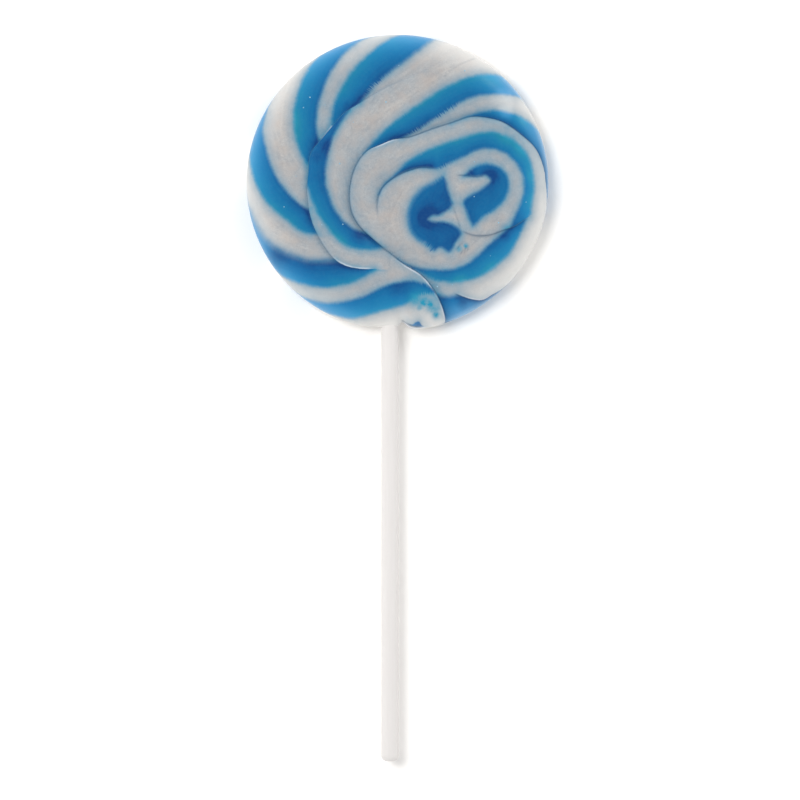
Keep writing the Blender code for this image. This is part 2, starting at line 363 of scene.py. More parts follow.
# The back winds the rim's stripes inwards, moved on at each turn, with a shallow seam between turns
back_places = back_places[RIM_SIDES:]
back_index = last + list(range(count, count + len(back_places)))
faces += [tuple(back_index[i] for i in reversed(triangle)) for triangle in back_triangles]
back_radius = np.linalg.norm(back_places, axis=1)
back_angle = np.arctan2(back_places[:, 1], back_places[:, 0])
wound = (back_angle - BACK_START) % (2 * math.pi) / (2 * math.pi)
inwards = (flat_radius - back_radius) / BACK_PITCH - wound
turns_in = np.maximum(np.floor(inwards) + 1, 0)
from_lap = inwards % 1 * BACK_PITCH
in_turns = smooth_step((flat_radius - back_radius) / 9)
swept = back_angle + BACK_SLANT * np.log(flat_radius / np.maximum(back_radius, 1))
swept += BACK_SHIFT * (turns_in + wound) * in_turns
plans.append(rim_end * np.column_stack([np.cos(swept), np.sin(swept)]))
lap = np.minimum(from_lap, BACK_PITCH - from_lap)
places.append(np.column_stack([back_places, BACK_SEAM * np.exp(-((lap / 0.6) ** 2)) * in_turns]))
verts, plan = np.concatenate(places), np.concatenate(plans)
back = np.arange(count, len(verts))
scale = np.ones(len(verts))
scale[back] = back_radius / flat_radius

# A low collar of sugar where the stick comes out
from_stick = np.hypot(verts[:, 0] - STICK_X, verts[:, 2] - THICKNESS / 2)
at_mouth = verts[:, 1] < -DISC_RADIUS / 2
verts[:, 1] -= np.where(at_mouth, COLLAR * np.exp(-np.maximum(from_stick - STICK_RADIUS, 0) / COLLAR_WIDTH), 0)

# ---------------------------------------------------------------------------------------------------
# The candy's stripes. The rope is white pulled sugar with clear blue sugar laid along it, so each
# blue stripe runs right through, slants over the rim, and goes under the next turn at a fold. Each
# stripe has a thin, clear side and a deep side, and both run in from the rim or from its other end.
# ---------------------------------------------------------------------------------------------------

STRIPES = {
    "bottom": {
        "clear": ((-15, -31.5), (-10, -31.9), (-4, -30.2), (1.5, -28.7), (5, -26.6), (8.5, -26.2), (11, -27)),
        "deep": ((-22, -27), (-16, -28.2), (-9, -27), (-3, -24.3), (3, -23), (7, -24), (10, -26)),
        "right_of": ("middle",),
    },
    "lower left": {
        "clear": ((-27.5, -22), (-22, -24), (-16, -24.6), (-10, -23.3), (-6, -21.2), (-3, -19.8)),
        "deep": ((-34.6, -7), (-31.5, -12.5), (-27, -16), (-21, -18.2), (-16, -18.2), (-12, -18), (-4, -18.5)),
        "deep_soft": 1.4, "right_of": ("outer",),
    },
    "left": {
        "clear": ((-34.7, 4.5), (-33.3, 0), (-30.5, -5), (-26, -8.8), (-22, -11.8), (-18, -12.2)),
        "deep": ((-30.7, 16.5), (-31.3, 11), (-29.3, 3.5), (-26.8, -1), (-23, -5), (-19, -7)),
        "right_of": ("outer",),
    },
    "upper left": {
        "clear": ((-19.5, 28.8), (-22, 24.5), (-24, 18), (-24.1, 12), (-22.5, 6.5), (-19.5, 2.5)),
        "deep": ((-8.5, 33.2), (-13, 29.3), (-16.5, 23.5), (-18.6, 17), (-18.7, 11.5), (-17, 7)),
        "right_of": ("outer",),
    },
    "top": {
        "clear": ((-1.5, 33.8), (-5.5, 31), (-10.5, 26), (-14.1, 20), (-15.3, 15), (-14.8, 11)),
        "deep": ((7.7, 32.8), (2.3, 28.6), (-4.1, 23.6), (-7.4, 19.9), (-9.5, 17)),
        "deep_soft": 0.8, "right_of": ("outer",),
    },
    "crescent": {
        "clear": ((-10, 18.5), (-16, 15), (-22, 8), (-22.5, 2), (-21, -1.5), (-19.5, -5.5), (-17, -10),
                  (-13, -14.3), (-9, -15.8), (-5, -15.7), (-2, -14.6)),
        "deep": ((-10.5, 18), (-12, 15.5), (-14.5, 11.5), (-16.2, 6), (-16.7, 0), (-15, -5.5), (-12, -9.6),
                 (-8, -11.6), (-5, -12)),
        "left_of": ("outer",), "right_of": ("middle",), "inside": True,
    },
    "upper middle": {
        "clear": ((23.3, 25.3), (18, 24.9), (12, 22.6), (6.5, 19.2), (0.5, 15), (-4, 11.2), (-8, 6.5)),
        "deep": ((28.2, 20), (22, 20.5), (16, 19.2), (10, 15.5), (5, 12.2), (0, 9.4), (-4, 6)),
        "right_of": ("middle",),
    },
    "right": {
        "clear": ((31.7, 13.8), (28.5, 15.6), (24, 16.8), (19, 16.3), (14, 14.3), (12, 13.3)),
        "deep": ((35.2, -2), (33, 4), (28, 9.5), (22, 13), (15, 13.5), (12, 13)),
        "right_of": ("middle",),
    },
    "inner": {
        "clear": ((-4.5, -3), (-3, -0.5), (-1, 1.4), (3, 5.2), (9, 8.3), (15, 10.3), (21, 11.7), (26.5, 10.3),
                  (30.5, 6), (31.9, 0), (31.3, -6), (30.3, -11)),
        "deep": ((-4.3, -3), (-3.2, -1), (-1.6, 0.4), (0.5, 1.7), (3.2, 2.8), (6, 3.2), (9.3, 3), (11.3, 4),
                 (14.8, 5.5), (18, 7.1), (21.5, 7.75), (24.8, 6.9), (27.1, 5), (28.7, 2.6), (29.4, -0.1),
                 (29.3, -2.8), (28.4, -5.5), (27, -8.7), (25.8, -12)),
        "left_of": ("core",), "inside": True,
    },
    "lower inner": {
        "clear": ((31.5, -5), (30.3, -8.5), (28.4, -13), (25.5, -17.5), (20, -21.7), (14, -23.4), (8.5, -22.8),
                  (4, -20.5)),
        "deep": ((28, -6), (26.8, -8.8), (25, -11.4), (21.8, -14.2), (19.1, -16.8), (15.9, -19.2), (13.2, -20.2),
                 (9.9, -20.5), (6.7, -20.3), (4, -19.8), (1.6, -19), (0, -18)),
        "left_of": ("middle",), "right_of": ("core",), "inside": True,
    },
    "bottom right": {
        "clear": ((11, -34.5), (9.5, -30), (7.5, -25.5)),
        "deep": ((26, -25.5), (22, -25.3), (17, -25.8), (14, -26.4), (11.5, -26.8), (9, -26.2), (7.5, -25.5)),
        "left_of": ("middle",), "right_of": ("rim",), "deep_soft": 0.8,
    },
    # The folded core, with the white drawn into it in two prongs: a side here is made of several runs
    "left core": {
        "clear": (((10.8, 1.5), (9, 0.3), (7, -0.8), (5, -2.2), (3.5, -4.2), (2.5, -6.8), (2.5, -9.5),
                   (3.3, -11.8), (5, -13.6), (7, -14.9), (8.5, -16)),),
        "deep": (((10.8, 1.5), (11.4, 0.2), (11.8, -1.8), (12.5, -3.8), (13.1, -5.2)),
                 ((13.1, -5.2), (12.5, -6.1), (11.3, -7), (9.5, -8), (8.3, -8), (7.2, -8.7)),
                 ((7.2, -8.7), (8.5, -9.2), (10.8, -9.3), (12.7, -9.8), (14.2, -10.6), (14.9, -11.7),
                  (14.7, -12.8), (13.5, -14.2), (13, -15.6), (12, -16.5), (10, -15.4), (8.5, -16))),
        "clear_soft": 0.9, "inside": True, "tone": 0.62,
    },
    "right core": {
        "clear": (((15.3, 1.3), (16.5, 2.6), (18.5, 3.8), (21, 4.3), (23.3, 3.8), (25, 2.5), (26, 0.5),
                   (26.1, -1.5), (25.5, -3.3), (24, -5.4), (22, -7), (20, -8.2), (18.5, -9.7), (17.6, -10.4)),),
        "deep": (((15.3, 1.3), (18, 1.2), (20.4, 1.5), (21.4, 0.8)),
                 ((21.4, 0.8), (21.6, 0.2), (20.5, -0.9), (19, -2), (17, -3), (15.6, -4.2), (15.4, -5)),
                 ((15.4, -5), (16, -7), (16.8, -9), (17.6, -10.4))),
        "inside": True, "tone": 0.5,
    },
    # A fleck of blue that the tail was cut through
    "tail fleck": {
        "clear": (((2.2, -32.9), (3.4, -33.15), (4, -32.7), (4.6, -32.3), (5.3, -32.4), (5.7, -33.2), (6.4, -33.8)),),
        "deep": (((2.2, -32.9), (3.2, -33.6), (4.3, -33.95), (6.3, -33.9)),),
        "clear_soft": 0.2, "deep_soft": 0.2, "inside": True, "tone": 0.8,
    },
}
# Spots turned towards deep blue, where the clear sugar runs thick and, on the creases, as painted shade: middle and
# reach
DEEP_AND_SHADED_SPOTS = ((7, -8.5, 2.6), (21.8, 1.6, 2.2), (17, 2.2, 1.5), (-17.6, 8.6, 3.2), (-14.6, 15.6, 3),
              (28.2, -10.4, 1.6), (25.2, -12.5, 1.6), (-9, -13, 3), (15.5, -28, 2), (-28, -17.5, 3.5),
              (-19.3, 6.5, 2.4), (-11.5, 17.3, 2.2), (-8.5, 18.8, 2), (-3, -0.6, 1.6), (5, -33.4, 1.3))
# Fine dark lines: a few cracks in the sugar, the rest painted shade along laps and the prongs' edges: how strong each
# is, and its way
HAIRLINES = ((0.55, ((13.4, -16.1), (15.4, -13.9))), (0.55, ((14.2, -17.3), (16.8, -14.6))),
             (0.45, ((15.2, -17), (17, -15.2))), (0.9, ((13.7, 1.5), (15.9, 1.5), (18, 1.35), (20.5, 1.4))),
             (0.45, ((12.9, -5.4), (13.9, -8.4), (14.8, -11))),
             (1.0, ((2, -32.8), (2.9, -33.4), (4.2, -33.75), (5.8, -33.95))), (0.3, ((18.6, 29.2), (15, 27.6), (11.5, 25.6))))
# Where the clear sugar is thinner or thicker than its place in the stripe says, and by how much
TONE_SPOTS = ((25, 9.5, 2.5, -0.3), (28.5, 7, 2.5, -0.35), (30.6, 1.5, 2.5, -0.35), (30.4, -4, 2.5, -0.3),
              (29.5, 14.5, 2, -0.3), (21.5, -19.8, 2.5, -0.2), (14.5, -22.6, 2, -0.25), (7.5, -21.8, 2, -0.2),
              (22.5, 23.4, 3.5, -0.35), (-22.8, 13, 4, -0.15), (-14, -14.2, 2.5, -0.2), (-20, -21, 5, 0.3),
              (-23.8, -17.8, 4, 0.15), (1, -26, 3, 0.3), (-18.4, 0, 4, 0.12), (-3.5, 27.5, 4, 0.1), (14, -31, 3, 0.15), (30.8, -9, 2, 0.2))
# Painted highlights on the rim's shoulder at the upper right: middle and reach
RIM_HIGHLIGHT_SPOTS = ((26.5, 21, 4.5), (25.5, 16.6, 2.5))
# How far in from the rim the painted rim light reaches
GLOW_WIDTH = 11.0
# Painted highlights along the edges of laps that catch the light: how strong each is, and its way
GLINTS = ((1.2, ((-17.9, 9.4), (-16.4, 11.4), (-15, 13.3))),
          (1.8, ((1.3, -32.9), (2.8, -34.2), (4.7, -34.8), (6.8, -34.3))))
SMUDGES = ((4.4, -27.6, 1.6), (6.2, -28, 1.5), (7.6, -28.6, 1.5), (8.5, -29.4, 1.3), (9, -30.8, 1.0),
           (5.2, -29.1, 0.8), (14.4, -15.6, 0.7), (16, -14.9, 0.6))
FEATHERED = ((9.5, 3.8, 3), (12, 15.8, 3.5), (8.5, -15.8, 2.5), (-5.5, 22, 3.5), (4, 12, 3), (7, -25, 2.5))


def stripe_sides(stripe):
    """The two sides of a stripe, run on past the rim if they start there."""
    sides = []
    for name in ("clear", "deep"):
        if stripe.get("tone"):
            runs = [smooth_line(run, 0.3) for run in stripe[name]]
            sides.append(np.concatenate([*(run[:-1] for run in runs), runs[-1][-1:]]))
        elif stripe.get("inside"):
            sides.append(smooth_line(stripe[name]))
        else:
            sides.append(run_on(smooth_line(stripe[name])))
    return sides


def inside(outline, points):
    """Which points lie inside a closed outline."""
    within = np.zeros(len(points), bool)
    x, y = points[:, 0], points[:, 1]
    for (ax, ay), (bx, by) in zip(outline, np.roll(outline, -1, axis=0)):
        if ay != by:
            within ^= ((ay > y) != (by > y)) & (x < (bx - ax) * (y - ay) / (by - ay) + ax)
    return within


SOFT_EDGE = 0.6
VEIL = 0.1  # the white lies this far over the edge of the blue
TINGE_REACH = 3.6
FAR = 8.0
shown, blue, cut = np.full(len(verts), -FAR), np.full(len(verts), -FAR), np.full(len(verts), FAR)
tone = np.full(len(verts), 0.5)
soft, along, fibre = np.full(len(verts), SOFT_EDGE), np.zeros(len(verts)), np.zeros(len(verts))
uncast = np.ones(len(verts))
laps = {name: lap_at(fold, plan) for name, fold in FOLDS.items()}
for stripe in STRIPES.values():
    clear, deep = stripe_sides(stripe)
    to_clear, along_clear, _ = place_on(clear, plan)
    to_deep, along_deep, _ = place_on(deep, plan)
    to_clear, to_deep = np.abs(to_clear), np.abs(to_deep)
    own = np.where(inside(np.concatenate([clear, deep[::-1]]), plan), 1, -1) * np.minimum(to_clear, to_deep)
    own = (own - VEIL) * scale
    own_cut = np.full(len(verts), FAR)
    for name in stripe.get("right_of", ()):
        own_cut = np.minimum(own_cut, -laps[name][0])
    for name in stripe.get("left_of", ()):
        own_cut = np.minimum(own_cut, laps[name][0])
    own_shown = np.minimum(own, own_cut)
    uncast *= 1 - 0.86 * np.clip(1 + own_shown / TINGE_REACH, 0, 1) ** 2
    better = own_shown > shown
    across = to_clear / np.maximum(to_clear + to_deep, 0.01)
    own_tone = stripe.get("tone", 0) + (0.3 if "tone" in stripe else 0.75) * across
    at_clear = to_clear < to_deep
    own_soft = np.where(at_clear, stripe.get("clear_soft", SOFT_EDGE), stripe.get("deep_soft", SOFT_EDGE))
    own_fibre = (to_clear - to_deep) / 2 + np.where(at_clear, -1, 1) * np.maximum(-own, 0)
    for kept, own_value in ((shown, own_shown), (blue, own), (cut, own_cut), (tone, own_tone),
                            (soft, own_soft), (fibre, own_fibre), (along, along_clear)):
        kept[better] = own_value[better]
blue = np.where(cut < -0.3, shown, blue)

# Along each fold: a painted highlight on the raised lip, a dark line of painted shade in the crease, deeper blue
# where the sugar runs thick together with painted shade in the groove, and a blue-grey cast on the white beside it
# that is painted shade as well
lip, crease_shade_and_cracks, depth_and_shade = np.zeros(len(verts)), np.zeros(len(verts)), np.zeros(len(verts))
loose = np.ones(len(verts))
tinge = 1 - uncast
for name, (side, crease, _, swapped) in laps.items():
    raised = np.where(side > 0, 1 - swapped, swapped)
    away = np.abs(side)
    lit = np.full(len(verts), 0.04)
    for x, y, reach in FOLDS[name].get("lit", ()):
        lit = np.maximum(lit, np.exp(-((plan - (x, y)) ** 2).sum(axis=1) / reach**2))
    lip = np.maximum(lip, crease * lit * raised * np.exp(-(((away - 0.16) / 0.17) ** 2)))
    crease_shade_and_cracks = np.maximum(crease_shade_and_cracks, crease * FOLDS[name]["crease_shade_and_cracks"] * np.exp(-((away / (0.2 + 0.1 * (1 - raised))) ** 2)))
    depth_and_shade = np.maximum(depth_and_shade, crease * (1 - 0.55 * raised) * np.exp(-away / 1.7))
    tinge = np.maximum(tinge, crease * FOLDS[name]["tinge"] * np.exp(-away / (3.2 - raised)))
    loose = np.minimum(loose, np.where(crease > 0.02, np.clip(away / 1.2 - 0.2, 0, 1), 1))
for strength, way in HAIRLINES:
    side, reached, length = place_on(smooth_line(way, 0.3), plan)
    ends = smooth_step(np.minimum(reached, length - reached) / 0.8)
    crease_shade_and_cracks = np.maximum(crease_shade_and_cracks, strength * ends * np.exp(-((side / 0.18) ** 2)))
for strength, way in GLINTS:
    side, reached, length = place_on(smooth_line(way, 0.3), plan)
    ends = smooth_step(np.minimum(reached, length - reached) / 0.8)
    lip = np.maximum(lip, strength * ends * np.exp(-((side / 0.22) ** 2)))
# The back's shallow seams get the same painted shade in their grooves
crease_shade_and_cracks[back] = 0.8 * np.exp(-((lap / 0.3) ** 2)) * in_turns
depth_and_shade[back] = 0.7 * np.exp(-from_lap / 1.7) * in_turns
for x, y, reach in DEEP_AND_SHADED_SPOTS:
    depth_and_shade = np.maximum(depth_and_shade, 0.75 * np.exp(-(((plan - (x, y)) ** 2).sum(axis=1)) / reach**2))
for x, y, reach, change in TONE_SPOTS:
    tone += change * np.exp(-(((plan - (x, y)) ** 2).sum(axis=1)) / reach**2)
smudge = np.zeros(len(verts))
for x, y, reach in SMUDGES:
    smudge = np.maximum(smudge, np.exp(-(((plan - (x, y)) ** 2).sum(axis=1)) / reach**2))
feather = np.full(len(verts), 0.12)
for x, y, reach in FEATHERED:
    feather = np.maximum(feather, np.exp(-(((plan - (x, y)) ** 2).sum(axis=1)) / reach**2))
# Painted rim light: the colour turns lighter towards the rim, more so on the right and less at the top, as the light
# falls there
to_right, to_top = (verts[:, :2] / np.linalg.norm(verts[:, :2], axis=1, keepdims=True)).T
painted_rim_light = 0.96 * np.clip(1 - inside_rim(verts) / GLOW_WIDTH, 0, 1) ** 2.6 * (1 + 0.18 * to_right - 0.1 * to_top)
for x, y, reach in RIM_HIGHLIGHT_SPOTS:
    painted_rim_light = np.maximum(painted_rim_light, 0.85 * np.exp(-(((plan - (x, y)) ** 2).sum(axis=1)) / reach**2))

mesh = bpy.data.meshes.new("candy_disc")
mesh.from_pydata([tuple(place) for place in verts * MM], [], faces)
for name, values in (("blue", blue), ("cut", cut), ("tone", tone), ("soft", soft), ("along", along),
                     ("lip", lip), ("crease_shade_and_cracks", crease_shade_and_cracks), ("depth_and_shade", depth_and_shade), ("tinge", tinge), ("painted_rim_light", painted_rim_light),
                     ("fibre", fibre), ("loose", loose), ("smudge", smudge), ("feather", feather)):
    mesh.attributes.new(name, "FLOAT", "POINT").data.foreach_set("value", values.astype(np.float32))
mesh.shade_smooth()
mesh.validate()
candy = bpy.data.objects.new("candy_disc", mesh)
bpy.context.scene.collection.objects.link(candy)


def hex_colour(code):
    """The linear colour of an sRGB hex code."""
    parts = [int(code[i : i + 2], 16) / 255 for i in (1, 3, 5)]
    return (*(v / 12.92 if v <= 0.04045 else ((v + 0.055) / 1.055) ** 2.4 for v in parts), 1)


def add(tree, kind, settings, inputs, output=None):
    """Adds a node with its settings, and its inputs set or linked, and returns one of its outputs."""
    node = tree.nodes.new(kind)
    for name, value in settings.items():
        setattr(node, name, value)
    for name, value in inputs.items():
        named = isinstance(name, str)
        socket = next(s for s in node.inputs if s.name == name and s.enabled) if named else node.inputs[name]
        if isinstance(value, bpy.types.NodeSocket):
            tree.links.new(value, socket)
        else:
            socket.default_value = value
    return node.outputs[output] if output else next((s for s in node.outputs if s.enabled), None)


# Boiled sugar: glassy, a little satin from the press. The blue is clear, so it looks deep where it is
# thick and turns teal where it thins out over the white, which is full of air and looks like wax.
sugar = bpy.data.materials.new("boiled_sugar_blue_and_white")
sugar.use_nodes = True
tree = sugar.node_tree
tree.nodes.clear()
place = add(tree, "ShaderNodeTexCoord", {}, {}, "Object")
place_mm = add(tree, "ShaderNodeVectorMath", {"operation": "SCALE"}, {0: place, "Scale": 1 / MM})
value = {
    name: add(tree, "ShaderNodeAttribute", {"attribute_name": name}, {}, "Fac")
    for name in ("blue", "cut", "tone", "soft", "along", "lip", "crease_shade_and_cracks", "depth_and_shade", "tinge", "painted_rim_light",
                 "fibre", "loose", "smudge", "feather")
}


def maths(operation, a, b=0.0, c=0.0):
    return add(tree, "ShaderNodeMath", {"operation": operation}, {0: a, 1: b, 2: c})


def mix(share, a, b):
    return add(tree, "ShaderNodeMix", {"data_type": "RGBA"}, {"Factor": share, "A": a, "B": b})


def cloud(per_mm, detail=2.0, vector=place_mm):
    """Soft noise from about -0.5 to 0.5, with this many blobs a millimetre."""
    made = add(tree, "ShaderNodeTexNoise", {}, {"Vector": vector, "Scale": per_mm, "Detail": detail})
    return maths("SUBTRACT", made, 0.5)


def fibres(across_per_mm, along_per_mm):
    """Noise drawn out along the stripes."""
    pulled = add(
        tree, "ShaderNodeCombineXYZ", {},
        {0: maths("MULTIPLY", value["fibre"], across_per_mm), 1: maths("MULTIPLY", value["along"], along_per_mm)},
    )
    return cloud(1.0, 3.0, pulled)


# Edges wander by a tenth of a millimetre or two, as the sugar was pulled by hand, but not at a fold
slack = maths("MULTIPLY_ADD", cloud(0.35), 0.5, maths("MULTIPLY", cloud(2.0), 0.2))
slack = maths("MULTIPLY_ADD", maths("MULTIPLY", fibres(0.5, 3.2), value["feather"]), 3.6, slack)
wander = maths("MULTIPLY_ADD", slack, value["loose"], value["blue"])
is_blue = add(
    tree, "ShaderNodeMapRange", {"interpolation_type": "SMOOTHSTEP"},
    {"Value": wander, "From Min": maths("MULTIPLY", value["soft"], -1.0), "From Max": value["soft"]},
)
uncut = add(tree, "ShaderNodeMapRange", {}, {"Value": value["cut"], "From Min": -0.1, "From Max": 0.1})
is_blue = maths("MULTIPLY", is_blue, uncut)

# The blue, by how deep the clear sugar is and darker with painted shade in the folds, and lighter towards the rim
# with painted rim light
shade = maths("MULTIPLY_ADD", value["depth_and_shade"], 0.55, value["tone"])
shade = maths("MULTIPLY_ADD", cloud(0.3), 0.25, maths("MULTIPLY_ADD", fibres(1.6, 0.12), 0.25, shade))
depth = add(tree, "ShaderNodeValToRGB", {}, {0: maths("MULTIPLY_ADD", shade, 0.8, 0.2)})
glow = value["painted_rim_light"]
through = add(tree, "ShaderNodeValToRGB", {}, {0: glow})
for ramp, stops in (
    (depth, ((0.0, "#2c95ae"), (0.2, "#1f7f9d"), (0.34, "#1876a0"), (0.6, "#11689b"), (0.88, "#0d538b"), (1.0, "#0c407b"))),
    (through, ((0.0, "#2a8fd2"), (0.4, "#3a9ed8"), (0.6, "#4faae0"), (0.8, "#5fabdf"), (1.0, "#86bde6"))),
):
    elements = ramp.node.color_ramp.elements
    for position, code in stops[1:-1]:
        elements.new(position)
    for element, (position, code) in zip(elements, stops):
        element.position = position
        element.color = hex_colour(code)
let_through = maths("MULTIPLY", glow, maths("MULTIPLY_ADD", value["depth_and_shade"], -0.7, 0.85))
blue_colour = mix(let_through, depth, through)
blue_colour = mix(maths("MULTIPLY_ADD", cloud(1.5, 3.0), 0.08, 0.02), blue_colour, hex_colour("#6fa3b4"))

# The white, mottled warm and cool, cast with blue beside the stripes, lighter towards the rim with painted rim light,
# and darker in the folds with painted shade
grain = maths("MULTIPLY_ADD", cloud(3.2, 3.0), 1.3, maths("ADD", cloud(0.25), fibres(1.5, 0.15)))
grain = maths("MULTIPLY_ADD", cloud(1.1), 0.8, grain)
white_colour = mix(maths("ADD", grain, 0.5), hex_colour("#999a9d"), hex_colour("#bab9b7"))
mottle = maths("MULTIPLY_ADD", cloud(0.45, 3.0), 3.2, 0.5)
white_colour = mix(maths("MULTIPLY", mottle, 0.5), white_colour, hex_colour("#b6aaa2"))
white_colour = mix(glow, white_colour, hex_colour("#e6e5e2"))
cast = maths("MULTIPLY", value["tinge"], maths("MULTIPLY_ADD", cloud(0.6, 3.0), 0.8, 1.0))
cast = maths("MULTIPLY", cast, maths("MULTIPLY_ADD", glow, -0.5, 1.0))
cast_colour = mix(maths("POWER", value["tinge"], 2.0), hex_colour("#6b91a8"), hex_colour("#3a8dac"))
white_colour = mix(cast, white_colour, cast_colour)
white_colour = mix(maths("MULTIPLY", maths("POWER", value["depth_and_shade"], 2.8), 0.18), white_colour, hex_colour("#0d4669"))
colour = mix(is_blue, white_colour, blue_colour)
blot = maths("MULTIPLY", value["smudge"], maths("MULTIPLY_ADD", cloud(0.9, 4.0), 1.8, 1.2))
colour = mix(maths("MULTIPLY", blot, 0.78), colour, hex_colour("#2b8fae"))
# A dark line of painted shade along each crease and the back's seams, and the dark cracks
colour = mix(maths("MULTIPLY", value["crease_shade_and_cracks"], 0.65), colour, hex_colour("#0d4669"))
# Painted highlights on the lips of the folds and along the glints, on the white only
edge_light = maths("MULTIPLY", value["lip"], maths("SUBTRACT", 1.0, is_blue))
colour = mix(maths("MULTIPLY", edge_light, 0.55), colour, hex_colour("#eef0f8"))
bump = add(tree, "ShaderNodeBump", {}, {"Strength": 0.25, "Distance": 0.0001, "Height": cloud(1.4, 3.0)}, "Normal")
shader = add(
    tree, "ShaderNodeBsdfPrincipled", {},
    {"Base Color": colour, "Roughness": 0.3, "IOR": 1.5, "Specular IOR Level": 0.25, "Normal": bump},
)
add(tree, "ShaderNodeOutputMaterial", {}, {"Surface": shader})
mesh.materials.append(sugar)
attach(candy, "root")
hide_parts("candy")


def made_by(tree, sockets, settings, name, base=None):
    """The mesh that a tree of Geometry Nodes makes from its settings, and a base, as a plain object."""
    seed = bpy.data.objects.new(name, base or bpy.data.meshes.new(name))
    bpy.context.scene.collection.objects.link(seed)
    maker = seed.modifiers.new("maker", "NODES")
    maker.node_group = tree
    for setting, value in settings.items():
        maker[sockets[setting].identifier] = value
    graph = bpy.context.evaluated_depsgraph_get()
    made = bpy.data.meshes.new_from_object(seed.evaluated_get(graph), depsgraph=graph)
    seed.modifiers.remove(maker)
    seed.data = made
    return seed


# Pinhead bubbles that came up as the sugar was pressed: flat domes, standing out by a hair's breadth
tree = bpy.data.node_groups.new("pinhead bubbles", "GeometryNodeTree")
sizes = {}
tree.interface.new_socket("Geometry", in_out="INPUT", socket_type="NodeSocketGeometry")
for name, kind in (("Count", "NodeSocketFloat"), ("Least Radius", "NodeSocketFloat"), ("Most Radius", "NodeSocketFloat"),
                   ("Flatness", "NodeSocketFloat"), ("Seed", "NodeSocketInt"), ("Material", "NodeSocketMaterial")):
    sizes[name] = tree.interface.new_socket(name, in_out="INPUT", socket_type=kind)
tree.interface.new_socket("Geometry", in_out="OUTPUT", socket_type="NodeSocketGeometry")
given = tree.nodes.new("NodeGroupInput").outputs
way_up = add(tree, "ShaderNodeSeparateXYZ", {}, {0: add(tree, "GeometryNodeInputNormal", {}, {})}, "Z")
on_face = add(tree, "FunctionNodeCompare", {"data_type": "FLOAT", "operation": "GREATER_THAN"}, {0: way_up, 1: 0.93})
scattered = add(
    tree, "GeometryNodeDistributePointsOnFaces", {},
    {"Mesh": given["Geometry"], "Selection": on_face, "Density": given["Count"], "Seed": given["Seed"]},
)
ball = add(tree, "GeometryNodeMeshUVSphere", {}, {"Segments": 12, "Rings": 8, "Radius": 1.0})
radius = add(
    tree, "FunctionNodeRandomValue", {"data_type": "FLOAT"},
    {"Min": given["Least Radius"], "Max": given["Most Radius"], "Seed": given["Seed"]},
)
height = add(tree, "ShaderNodeMath", {"operation": "MULTIPLY"}, {0: radius, 1: given["Flatness"]})
spread = add(tree, "ShaderNodeCombineXYZ", {}, {0: radius, 1: radius, 2: height})
bubbles = add(
    tree, "GeometryNodeInstanceOnPoints", {},
    {"Points": scattered, "Instance": ball, "Rotation": scattered.node.outputs["Rotation"], "Scale": spread},
)
bubbles = add(tree, "GeometryNodeRealizeInstances", {}, {0: bubbles})
bubbles = add(tree, "GeometryNodeSetShadeSmooth", {}, {0: bubbles})
bubbles = add(tree, "GeometryNodeSetMaterial", {}, {"Geometry": bubbles, "Material": given["Material"]})
add(tree, "NodeGroupOutput", {}, {0: bubbles})

# The skin of a bubble: the same sugar, thin and full of light
bubble_sugar = bpy.data.materials.new("boiled_sugar_bubble_skin")
bubble_sugar.use_nodes = True
tree = bubble_sugar.node_tree
tree.nodes.clear()
place = add(tree, "ShaderNodeTexCoord", {}, {}, "Object")
place_mm = add(tree, "ShaderNodeVectorMath", {"operation": "SCALE"}, {0: place, "Scale": 1 / MM})
colour = mix(maths("MULTIPLY_ADD", cloud(0.2), 2.0, 0.5), hex_colour("#74b4d0"), hex_colour("#b9c8d0"))
shader = add(tree, "ShaderNodeBsdfPrincipled", {}, {"Base Color": colour, "Roughness": 0.25, "IOR": 1.5})
add(tree, "ShaderNodeOutputMaterial", {}, {"Surface": shader})
bubbles = made_by(
    bpy.data.node_groups["pinhead bubbles"], sizes,
    {
        "Count": 6000.0, "Least Radius": 0.08 * MM, "Most Radius": 0.2 * MM, "Flatness": 0.35, "Seed": 7,
        "Material": bubble_sugar,
    },
    "candy_bubbles", mesh.copy(),
)
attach(bubbles, "root")

# ---------------------------------------------------------------------------------------------------
# The stick. A solid rod of white polypropylene, moulded in two halves, with rounded ends and a faint
# parting line down each side. The candy is pressed round its upper third and grips it as it sets.
# ---------------------------------------------------------------------------------------------------

stick_low, stick_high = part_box("stick")
tree = bpy.data.node_groups.new("moulded rod", "GeometryNodeTree")
sizes = {}
for name, kind in (("Length", "NodeSocketFloat"), ("Radius", "NodeSocketFloat"), ("End Radius", "NodeSocketFloat"),
                   ("Parting Line", "NodeSocketFloat"), ("Material", "NodeSocketMaterial")):
    sizes[name] = tree.interface.new_socket(name, in_out="INPUT", socket_type=kind)
tree.interface.new_socket("Geometry", in_out="OUTPUT", socket_type="NodeSocketGeometry")
given = tree.nodes.new("NodeGroupInput").outputs


def rod_maths(operation, a, b=0.0, c=0.0):
    return add(tree, "ShaderNodeMath", {"operation": operation}, {0: a, 1: b, 2: c})


